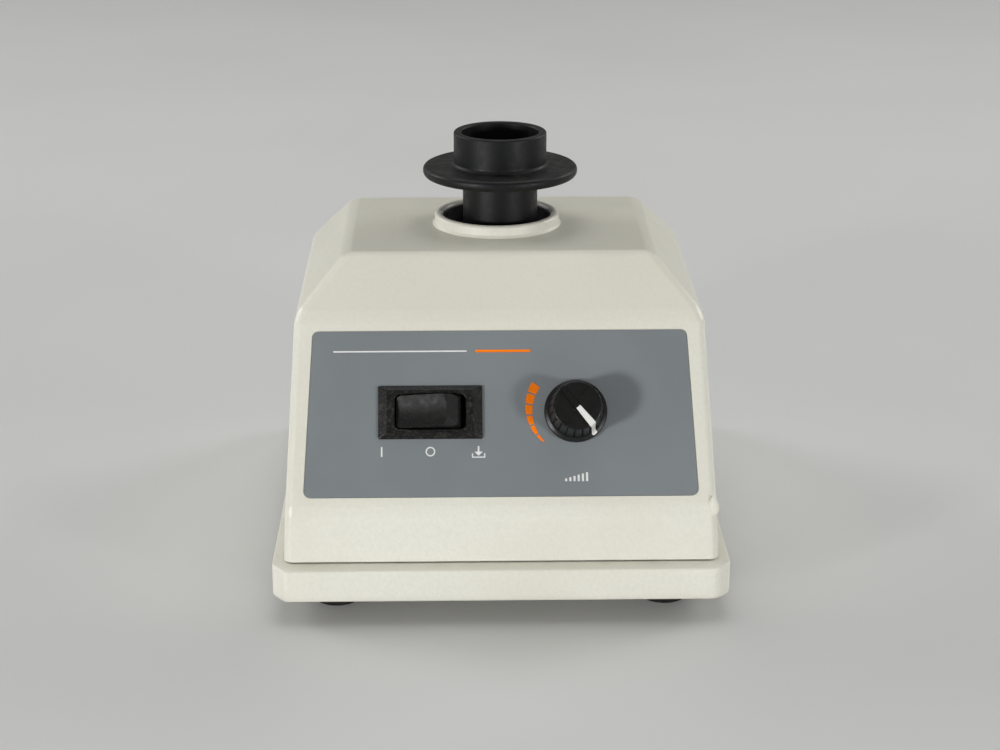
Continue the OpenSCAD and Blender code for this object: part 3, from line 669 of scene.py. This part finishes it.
def build_runs():
    """One run at the cover's right front crease, one small one on the tray's band."""
    corner_x = half_width(CREASE.z)
    paint_run("paint_run_crease", (corner_x - 1.35 * MM, CREASE.y + 1.2 * MM, CREASE.z + 1.2 * MM),
              (1.9 * MM, 1.7 * MM, 3.9 * MM), -0.10)
    paint_run("paint_run_base", (TRAY_HI.x - 6.2 * MM, TRAY_LO.y + 0.35 * MM, TRAY_HI.z - 3.6 * MM),
              (0.75 * MM, 0.5 * MM, 1.5 * MM), 0.35)


def build_label():
    gap, edge = 0.05 * MM, 0.08 * MM
    outline = label_outline(-gap)
    inner = label_outline(-gap - edge)
    rings = [[(p.x, p.y, -LABEL_RECESS) for p in outline],
             [(p.x, p.y, LABEL_FACE - edge) for p in outline],
             [(p.x, p.y, LABEL_FACE) for p in inner]]
    obj = loft("label_plate", rings, on_panel(0, 0))
    cut_controls(obj, -MM, MM)
    finish_piece(obj, "housing", LABEL, ["panel_label"], sharp=30)


# ---------------------------------------------------------------- marks printed on the label

INK_T = 0.05 * MM


def printed(name, outlines, material, x, up):
    """Flat shapes printed on the label, as one thin raised piece."""
    bm = bmesh.new()
    for outline in outlines:
        rings = [[bm.verts.new((p[0], p[1], z)) for p in outline] for z in (0, INK_T)]
        bridge(bm, rings[0], rings[1])
        bm.faces.new(rings[0])
        bm.faces.new(rings[1])
    obj = add_object(name, bm, on_panel(x, up, LABEL_FACE))
    finish_piece(obj, "housing", material, sharp=30, weighted=False)


def arc_band(inner, outer, start, end, steps=10):
    """A curved band; inner and outer are functions of the angle in degrees."""
    angles = [start + (end - start) * k / steps for k in range(steps + 1)]
    far = [(outer(a) * math.cos(math.radians(a)), outer(a) * math.sin(math.radians(a))) for a in angles]
    near = [(inner(a) * math.cos(math.radians(a)), inner(a) * math.sin(math.radians(a))) for a in angles]
    return far + near[::-1]


def bar(x, y, w, h, r=0.0):
    return [(p.x + x, p.y + y) for p in rounded_rect(w, h, r or 1e-4 * MM, 4)]


def circle_band(r, line):
    """A ring in two halves, so that each outline is simple."""
    return [arc_band(lambda a: r - line, lambda a: r, first, first + 180, 20) for first in (0, 180)]


def speed_arc():
    """Six orange segments that widen as the speed rises."""
    first, last, count, gap = 145.0, 225.0, 6, 2.0
    step = (last - first) / count

    def outer(angle):
        return (15.8 + 3.2 * ((last - angle) / (last - first)) ** 0.75) * MM

    starts = [first + i * step for i in range(count)]
    return [arc_band(lambda a: 15.5 * MM, outer, start, start + step - gap) for start in starts]


def build_marks():
    """Speed arc, switch marks, rising bars under the knob, and the header's rule and dash."""
    printed("speed_arc", speed_arc(), ORANGE, KNOB_X, CONTROL_UP)
    mark_up, bars_up, rule_up = 21.6 * MM, 11.6 * MM, 58 * MM
    stroke = [bar(0, 0, 0.55 * MM, 3.6 * MM, 0.2 * MM)]
    printed("mark_on", stroke, WHITE_INK, SWITCH_X - 17.4 * MM, mark_up)
    printed("mark_off", circle_band(1.75 * MM, 0.5 * MM), WHITE_INK, SWITCH_X, mark_up)
    arrow = [(-1.5 * MM, -0.1 * MM), (0, -1.6 * MM), (1.5 * MM, -0.1 * MM), (0.3 * MM, -0.1 * MM),
             (0.3 * MM, 1.9 * MM), (-0.3 * MM, 1.9 * MM), (-0.3 * MM, -0.1 * MM)]
    dish = [(-2.4 * MM, -0.7 * MM), (-2.4 * MM, -2.3 * MM), (2.4 * MM, -2.3 * MM), (2.4 * MM, -0.7 * MM),
            (1.95 * MM, -0.7 * MM), (1.95 * MM, -1.9 * MM), (-1.95 * MM, -1.9 * MM), (-1.95 * MM, -0.7 * MM)]
    printed("mark_touch", [arrow, dish], WHITE_INK, SWITCH_X + 17.2 * MM, mark_up)
    bars = [bar((i - 2.5) * 1.5 * MM, (i * 0.22 - 0.5) * MM, 0.75 * MM, (1.0 + i * 0.44) * MM)
            for i in range(6)]
    printed("mark_speed", bars, WHITE_INK, KNOB_X, bars_up)
    printed("header_rule", [bar(0, 0, 48 * MM, 0.5 * MM, 0.2 * MM)], WHITE_INK, -36 * MM, rule_up)
    printed("header_dash", [bar(0, 0, 20 * MM, 0.9 * MM, 0.4 * MM)], ORANGE, 1 * MM, rule_up)


# ---------------------------------------------------------------- switch and knob

def build_switch():
    """Bezel with a flat rim, long bevels and a rounded slot, over the switch's box."""
    def ring(w, d, r, z):
        return [(p.x, p.y, z * MM) for p in rounded_rect(w * MM, d * MM, r * MM, 6)]

    face = LABEL_FACE / MM
    place = on_panel(SWITCH_X, CONTROL_UP)
    # Width, depth, corner radius and level in millimetres, from the label in to the slot's floor
    path = [(37.3, 19.2, 0.5, face), (37.3, 19.2, 0.5, face + 0.75), (37.0, 18.9, 0.5, face + 1.0),
            (31.6, 15.9, 0.4, 2.45), (31.0, 15.55, 0.4, 2.6), (26.2, 13.2, 2.3, 2.6), (25.5, 12.6, 2.0, 2.3),
            (25.4, 12.5, 2.0, -2), (25.4, 12.5, 2.0, -15)]
    rim = loft("switch_bezel", [ring(*level) for level in path], place, cap_first=False)
    box = [(30, 15.5, 0.4, face), (30, 15.5, 0.4, -17.6), (29.4, 14.9, 0.4, -18)]
    bm = bmesh.new()
    bm.from_mesh(rim.data)
    bpy.data.objects.remove(rim)
    outer = [[bm.verts.new(place @ Vector(p)) for p in ring(*level)] for level in box]
    for low, high in zip(outer, outer[1:]):
        bridge(bm, low, high)
    bm.faces.new(outer[-1])
    bottom = [bm.verts.new(place @ Vector(p)) for p in ring(*path[0])]
    bridge(bm, bottom, outer[0])
    bmesh.ops.remove_doubles(bm, verts=bm.verts, dist=1e-7)
    obj = add_object("switch_bezel", bm)
    finish_piece(obj, "housing", BEZEL, ["switch_housing"], sharp=24)


def build_rocker():
    """A paddle whose top is dished from front to back, resting with its left end pressed in."""
    top, half, dish = 8 * MM, 5.85 * MM, 1.15 * MM
    pin_depth = 3 * MM
    fall = 4.7 / 4.4
    stations = 17
    rings = []
    for k in range(stations):
        y = -half + 2 * half * k / (stations - 1)
        sink = dish * (1 - (y / half) ** 2)
        points = [(-10.6 * MM - 0.2 * sink, top - sink), (7.2 * MM + fall * sink, top - sink),
                  (12.0 * MM, 3.6 * MM), (11.9 * MM, 1.2 * MM), (8 * MM, -4 * MM), (-8 * MM, -4 * MM),
                  (-11.6 * MM, 1.2 * MM), (-11.6 * MM, 4.2 * MM)]
        radii = [0.4 * MM, 0.4 * MM, 2.0 * MM] + [1 * MM] * 5
        rings.append([(p.x, y, p.y) for p in fillet(points, radii, 5, closed=True)])
    swing = math.radians(JOINTS["rocker_tilt"]["range_deg"][1] / 2)
    obj = loft("rocker_paddle", rings)
    slot_plan = rounded_rect(24.6 * MM, 2 * half - 0.02 * MM, 1.9 * MM, 8)
    for turn in (-swing, swing):
        plan = prism("tool", slot_plan, -9 * MM, 16 * MM)
        plan.data.transform(Matrix.Rotation(turn, 4, "Y"))
        combine(obj, plan, "INTERSECT")
    bevel(obj, 0.28 * MM, 3, 55)
    obj.data.transform(on_panel(SWITCH_X, CONTROL_UP, -pin_depth) @ Matrix.Rotation(-swing, 4, "Y"))
    finish_piece(obj, "rocker", ROCKER, ["switch_rocker"], sharp=28)


# At the joint's low limit the pointer stands 150 degrees clockwise from the top
POINTER_TURN = -math.radians(JOINTS["speed_turn"]["range_deg"][0] + 150)
KNOB_H = 14.5 * MM


def knob_place():
    return on_panel(KNOB_X, CONTROL_UP, LABEL_FACE) @ Matrix.Rotation(POINTER_TURN, 4, "Z")


def build_knob():
    """Skirted knob: a drum with narrow upright grooves, and a slot right across its flat face."""
    turns, count = 400, 20
    foot_r, face_r, skirt_r, skirt_h = 9.9 * MM, 8.7 * MM, 11.3 * MM, 2.2 * MM
    low, edge = 0.5 * MM, 0.6 * MM
    skirt = fillet([(0, low), (skirt_r, low), (skirt_r, skirt_h), (foot_r + 0.1 * MM, skirt_h + 0.5 * MM)],
                   [0, 0.4 * MM, 0.6 * MM, 0], 4)
    levels = [(p.x, p.y, 0.0) for p in skirt]
    drum_low, drum_high = skirt_h + 0.6 * MM, KNOB_H - edge
    for k in range(9):
        t = k / 8
        r = foot_r + (face_r - foot_r) * t
        levels.append((r, drum_low + (drum_high - drum_low) * t, min(1.0, 5 * t)))
    for k in range(1, 6):
        a = math.pi / 2 * k / 5
        r = face_r - edge * (1 - math.cos(a))
        levels.append((r, KNOB_H - edge * (1 - math.sin(a)), max(0, 1 - k / 3)))
    levels.append((0, KNOB_H, 0.0))

    def groove(angle):
        """How deep the grooves cut at an angle round the drum."""
        across = abs((angle * count / math.tau) % 1 - 0.5)
        return 0.55 * MM * max(0.0, 1 - across / 0.17)

    angles = [math.tau * k / turns for k in range(turns)]
    rings = []
    for r, z, depth in levels:
        if r < 1e-7:
            rings.append([(0, 0, z)])
            continue
        rings.append([((r - depth * groove(a)) * math.cos(a), (r - depth * groove(a)) * math.sin(a), z)
                      for a in angles])
    obj = loft("knob_body", rings)
    half, deep = 1.5 * MM, 0.8 * MM
    flare, lip, over = 0.35 * MM, 0.15 * MM, 0.2 * MM
    section = [(-half, -deep), (half, -deep), (half, -lip), (half + flare, over), (-half - flare, over),
               (-half, -lip)]
    slot = loft("tool", [[(x, y, KNOB_H + z) for x, z in section] for y in (-15 * MM, 15 * MM)])
    combine(obj, slot)
    narrow, near, far = 0.95 * MM, 8.2 * MM, 14 * MM
    side = [(-narrow, near), (narrow, near), (narrow, far), (-narrow, far)]
    combine(obj, prism("tool", side, skirt_h + 1.2 * MM, KNOB_H + 3 * MM))
    combine(obj, disc_tool(7.2 * MM, 0, 5 * MM, Matrix.Identity(4), 64))
    obj.data.transform(knob_place())
    finish_piece(obj, "knob", KNOB, ["speed_knob"], sharp=28)


def build_pointer():
    """White line that widens from the knob's centre to its rim, then runs down its side to the skirt."""
    # Distance out, top, half width and underside in millimetres, from the centre down to the skirt
    path = [(0.4, 14.40, 0.86, 13.72), (0.5, 14.50, 0.90, 13.72), (8.0, 14.53, 1.20, 13.72),
            (8.55, 14.38, 1.22, 13.3), (8.85, 13.9, 1.16, 12.9), (8.95, 13.2, 0.88, 12.3),
            (9.5, 6.4, 0.78, 6.0), (9.85, 4.2, 0.86, 3.6), (10.25, 3.05, 1.02, 2.55),
            (10.75, 2.78, 0.98, 2.5), (10.98, 2.68, 0.45, 2.5)]
    chamfer, drop = 0.08, 0.06
    rings = []
    for y, z, half, low in path:
        inner = y if y < 8.3 or y > 10 else 8.25
        ring = [(-half, inner, low), (-half, y, z - drop), (chamfer - half, y, z), (half - chamfer, y, z),
                (half, y, z - drop), (half, inner, low)]
        rings.append([Vector(point) * MM for point in ring])
    obj = loft("pointer_line", rings, knob_place())
    finish_piece(obj, "knob", WHITE, ["knob_pointer"], sharp=40)


# ---------------------------------------------------------------- cup, seal, feet, gland

def build_cup():
    """The rubber cup, drip flange and stem, turned in one piece about the head's own axis."""
    stem, cup, flange = 14.2 * MM, 17.6 * MM, 29.3 * MM
    bore, hub_r = 14.7 * MM, 12.4 * MM
    top, low = CUP_HI.z, CUP_LO.z
    under, over, hub_top = 141 * MM, 145 * MM, 137.5 * MM
    floor = under + 2.5 * MM
    outside = [(hub_r, low), (stem, low), (stem, under - 0.2 * MM), (flange, under), (flange, over),
               (cup, over + 0.2 * MM), (cup, top), (bore, top), (bore, top - 8 * MM), (4 * MM, floor),
               (0, floor)]
    radii = [0, 0.5 * MM, 1.6 * MM, 1.9 * MM, 1.6 * MM, 1.5 * MM, 0.9 * MM, 0.9 * MM, 2 * MM, 2 * MM, 0]
    socket = [Vector((0, hub_top)), Vector((hub_r, hub_top)), Vector((hub_r, low))]
    place = Matrix.Translation((HEAD_AXIS.x, HEAD_AXIS.y, 0))
    obj = lathe("cup_body", fillet(outside, radii, 6) + socket, place, 128)
    bm = bmesh.new()
    bm.from_mesh(obj.data)
    bmesh.ops.remove_doubles(bm, verts=bm.verts, dist=1e-6)
    bmesh.ops.recalc_face_normals(bm, faces=bm.faces)
    bm.to_mesh(obj.data)
    bm.free()
    finish_piece(obj, "head", CUP_RUBBER, ["cup_head"], sharp=40)


def build_seal():
    """Seal inside the collar: a lip towards the stem and a sleeve that lines the ring, in black rubber as painted
    shade for the dark inside of the ring.
    """
    outer, lip, thin = COLLAR_R - 0.1 * MM, 17.1 * MM, 19.8 * MM
    low, high = SEAL_LO.z, COVER_HI.z - 1.3 * MM
    points = [(lip, low), (lip, low + 2 * MM), (thin, low + 2.2 * MM), (thin, high), (outer, high),
              (outer, low)]
    radii = [0.5 * MM, 0.7 * MM, 0.5 * MM, 0.3 * MM, 0.2 * MM, 0.3 * MM]
    obj = lathe("seal_ring", fillet(points, radii, 5, closed=True), MOTOR_PLACE, 96, loop=True)
    finish_piece(obj, "housing", RUBBER, ["collar_seal"], sharp=40)


def build_feet():
    """Four tapered rubber feet, each with a hole and a seat for its screw."""
    low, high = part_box("rubber_feet")
    foot_r, foot_h = 10.5 * MM, 8 * MM
    screw_r, seat_r, seat_h = 1.8 * MM, 4.2 * MM, 3.5 * MM
    points = [(seat_r, 0), (8.6 * MM, 0), (foot_r, foot_h), (screw_r, foot_h), (screw_r, seat_h),
              (seat_r, seat_h)]
    profile = fillet(points, [0.5 * MM, 1.1 * MM, 0.5 * MM, 0, 0, 0.3 * MM], 5, closed=True)
    bm = bmesh.new()
    for x in (low.x + foot_r, high.x - foot_r):
        for y in (low.y + foot_r, high.y - foot_r):
            foot = lathe("foot", profile, Matrix.Translation((x, y, 0)), 64, loop=True)
            bm.from_mesh(foot.data)
            bpy.data.objects.remove(foot)
    obj = add_object("foot_pads", bm)
    finish_piece(obj, "housing", RUBBER, ["rubber_feet"], sharp=40)


def build_gland():
    """Nylon gland: a hexagon, a domed nose and a bore for the cord."""
    bore = 3.7 * MM
    tail, nose = -9 * MM, 7.9 * MM
    points = [(bore, tail), (GLAND_R, tail), (GLAND_R, 2.6 * MM), (8.6 * MM, 2.8 * MM), (8.4 * MM, 4.6 * MM),
              (6.2 * MM, nose), (bore, nose)]
    radii = [0.4 * MM, 0.4 * MM, 0, 0.3 * MM, 1.2 * MM, 0.9 * MM, 0.8 * MM]
    obj = lathe("gland_body", fillet(points, radii, 5, closed=True), GLAND_PLACE, 96, loop=True)
    flats, corner_r = 6, 10.3 * MM
    turn = math.tau / flats
    hexagon = [(corner_r * math.cos(turn * k), corner_r * math.sin(turn * k)) for k in range(flats)]
    nut = prism("hexagon", fillet(hexagon, [0.8 * MM] * flats, 3, True), 0, 3 * MM, GLAND_PLACE)
    bevel(nut, 0.5 * MM, 3, 50)
    combine(nut, disc_tool(bore + 0.5 * MM, -MM, 5 * MM, GLAND_PLACE, 64))
    combine(obj, nut, "UNION")
    finish_piece(obj, "housing", BEZEL, ["cord_gland"], sharp=35)


# ---------------------------------------------------------------- floor, light, camera

def build_stage():
    bm = bmesh.new()
    half, pale = 6.0, (0.74, 0.74, 0.73)
    corners = ((-half, -half), (half, -half), (half, half), (-half, half))
    bm.faces.new([bm.verts.new((x, y, 0)) for x, y in corners])
    floor = add_object("studio_floor", bm)
    s = Shader("studio_floor", pale, 0.6)
    s.color(s.mix(s.spread(s.noise(0.35, 3), 0.3, 0.7), pale, (0.71, 0.71, 0.70)))
    floor.data.materials.append(s.material)


def softbox(name, at, target, size, power, spread=180):
    """A rectangular light that faces its target; the spread is in degrees."""
    data = bpy.data.lights.new(name, "AREA")
    data.shape = "RECTANGLE"
    data.size, data.size_y = size
    data.energy = power
    data.spread = math.radians(spread)
    lamp = bpy.data.objects.new(name, data)
    bpy.context.scene.collection.objects.link(lamp)
    lamp.location = at
    lamp.rotation_euler = (Vector(target) - Vector(at)).to_track_quat("-Z", "Y").to_euler()


def build_light():
    """Two low soft lights in front, three weak ones above and behind, and a pale room."""
    world = bpy.data.worlds.new("studio")
    world.use_nodes = True
    back = world.node_tree.nodes["Background"]
    back.inputs["Color"].default_value = (1.0, 1.0, 0.985, 1)
    back.inputs["Strength"].default_value = 0.23
    bpy.context.scene.world = world
    front, middle = (0, -0.08, 0.07), (0, 0, 0.1)
    softbox("key_left", (-1.40, -1.50, 0.24), front, (0.26, 0.26), 3.02, 70)
    softbox("key_right", (1.38, -1.52, 0.27), front, (0.30, 0.28), 1.9, 70)
    softbox("top_fill", (0, 0.5, 1.8), middle, (1.6, 1.2), 8.6)
    for side in (-1, 1):
        softbox("side_fill", (side * 1.75, 0.95, 1.0), middle, (0.9, 0.7), 12)


def build_camera():
    data = bpy.data.cameras.new("camera")
    data.sensor_width = 36
    data.lens = 81.12
    camera = bpy.data.objects.new("camera", data)
    bpy.context.scene.collection.objects.link(camera)
    at = (-0.01398, -0.84382, 0.34465)
    pitch, yaw, roll = math.radians(18.758), math.radians(1.038), math.radians(-0.047)
    heading = Matrix.Rotation(-yaw, 4, "Z")
    tilt = Matrix.Rotation(math.pi / 2 - pitch, 4, "X") @ Matrix.Rotation(roll, 4, "Z")
    camera.matrix_world = Matrix.Translation(at) @ heading @ tilt
    bpy.context.scene.camera = camera


build_camera()
build_light()
build_stage()
dress_cad_nodes()
build_cover()
build_tray()
build_gasket()
build_runs()
build_label()
build_marks()
build_switch()
build_rocker()
build_knob()
build_pointer()
build_cup()
build_seal()
build_feet()
build_gland()

bpy.context.scene.view_settings.view_transform = "Standard"
